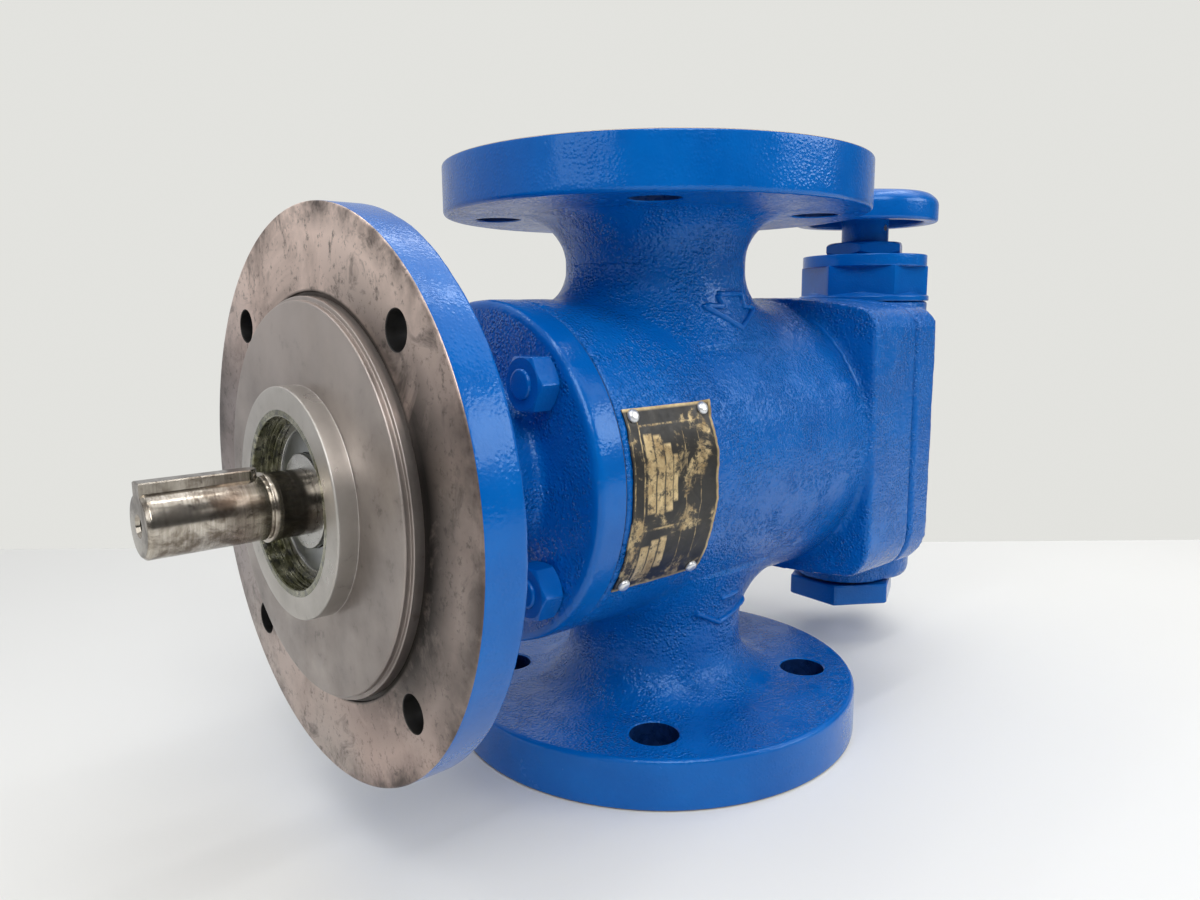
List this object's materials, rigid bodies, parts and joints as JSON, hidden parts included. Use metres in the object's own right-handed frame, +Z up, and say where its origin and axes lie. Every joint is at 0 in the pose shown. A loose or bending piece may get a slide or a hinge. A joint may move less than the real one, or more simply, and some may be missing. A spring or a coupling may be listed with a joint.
{
  "type": "triple screw pump",
  "caption": "Horizontal screw pump with flanged ports above and below, a disc-mounted drive end with a keyed shaft, and a handwheel relief valve at the other end.",
  "frame": {"origin": "centre of the lower port's flange face, on the axis that both ports share", "axes": "+Z up through both ports, +X along the pump's axis from the drive shaft towards the relief valve, +Y to the side away from the name plate"},
  "size_m": [0.3793, 0.176, 0.226],
  "materials": {
    "blue_paint": "glossy blue paint over rough sand-cast iron",
    "bright_steel": "turned and ground",
    "spring_steel": "dark, oiled",
    "grey_iron": "machined",
    "bronze": "machined",
    "shield_steel": "pressed, dull",
    "seal_carbon": "lapped",
    "gasket_fibre": "matt",
    "seal_rubber": "matt",
    "plate_metal": "worn",
    "rivet_metal": "satin"
  },
  "bodies": {
    "pump_body": {"pump_casing": "blue_paint", "front_cover": "blue_paint", "front_gasket": "gasket_fibre", "cover_studs": "bright_steel", "cover_nuts": "blue_paint", "rear_cover": "blue_paint", "rear_gasket": "gasket_fibre", "rear_cover_screws": "blue_paint", "screw_housing": "grey_iron", "balance_bush": "bronze", "idler_bushes": "bronze", "bearing_outer_ring": "bright_steel", "bearing_shields": "shield_steel", "bearing_retaining_ring": "bright_steel", "seal_seat": "seal_carbon", "valve_seat": "bronze", "valve_bonnet": "blue_paint", "bonnet_seal_ring": "seal_rubber", "spindle_packing": "gasket_fibre", "gland_nut": "blue_paint", "bottom_plug": "blue_paint", "plug_seal_ring": "seal_rubber", "name_plate": "plate_metal", "plate_rivets": "rivet_metal"},
    "drive_rotor": {"power_screw": "bright_steel", "shaft_key": "bright_steel", "bearing_inner_ring": "bright_steel", "shaft_retaining_ring": "bright_steel", "seal_face_ring": "seal_carbon", "seal_bellows": "bright_steel"},
    "left_idler": {"idler_screw_left": "bright_steel"},
    "right_idler": {"idler_screw_right": "bright_steel"},
    "ball_set": {"bearing_balls": "bright_steel", "bearing_cage": "bronze"},
    "relief_piston": {"valve_piston": "bright_steel"},
    "plate_carrier": {"spring_plate": "bright_steel", "valve_spring": "spring_steel"},
    "spindle": {"valve_spindle": "bright_steel", "handwheel": "blue_paint", "handwheel_pin": "bright_steel"}
  },
  "joints": [
    {"name": "shaft_spin", "type": "hinge", "parent": "pump_body", "child": "drive_rotor", "pos_m": [0, 0, 0.1125], "axis": [1, 0, 0], "continuous": true},
    {"name": "left_idler_spin", "type": "hinge", "parent": "pump_body", "child": "left_idler", "pos_m": [0, -0.022, 0.1125], "axis": [1, 0, 0], "continuous": true},
    {"name": "right_idler_spin", "type": "hinge", "parent": "pump_body", "child": "right_idler", "pos_m": [0, 0.022, 0.1125], "axis": [1, 0, 0], "continuous": true},
    {"name": "ball_set_spin", "type": "hinge", "parent": "pump_body", "child": "ball_set", "pos_m": [0, 0, 0.1125], "axis": [1, 0, 0], "continuous": true},
    {"name": "relief_lift", "type": "slide", "parent": "pump_body", "child": "relief_piston", "axis": [0, 0, 1], "range_m": [0, 0.005], "stiffness_N_per_m": 28000, "springref_m": -0.0175},
    {"name": "handwheel_turn", "type": "hinge", "parent": "plate_carrier", "child": "spindle", "pos_m": [0.15, 0, 0.15], "axis": [0, 0, 1], "range_deg": [0, 2160]},
    {"name": "spindle_rise", "type": "slide", "parent": "pump_body", "child": "plate_carrier", "axis": [0, 0, 1], "range_m": [0, 0.012], "deforming": ["valve_spring"]}
  ],
  "couplings": [
    {"joint": "left_idler_spin", "follows": "shaft_spin", "ratio": -1},
    {"joint": "right_idler_spin", "follows": "shaft_spin", "ratio": -1},
    {"joint": "ball_set_spin", "follows": "shaft_spin", "ratio": 0.3681},
    {"joint": "handwheel_turn", "follows": "spindle_rise", "rad_per_m": 3141.6}
  ]
}
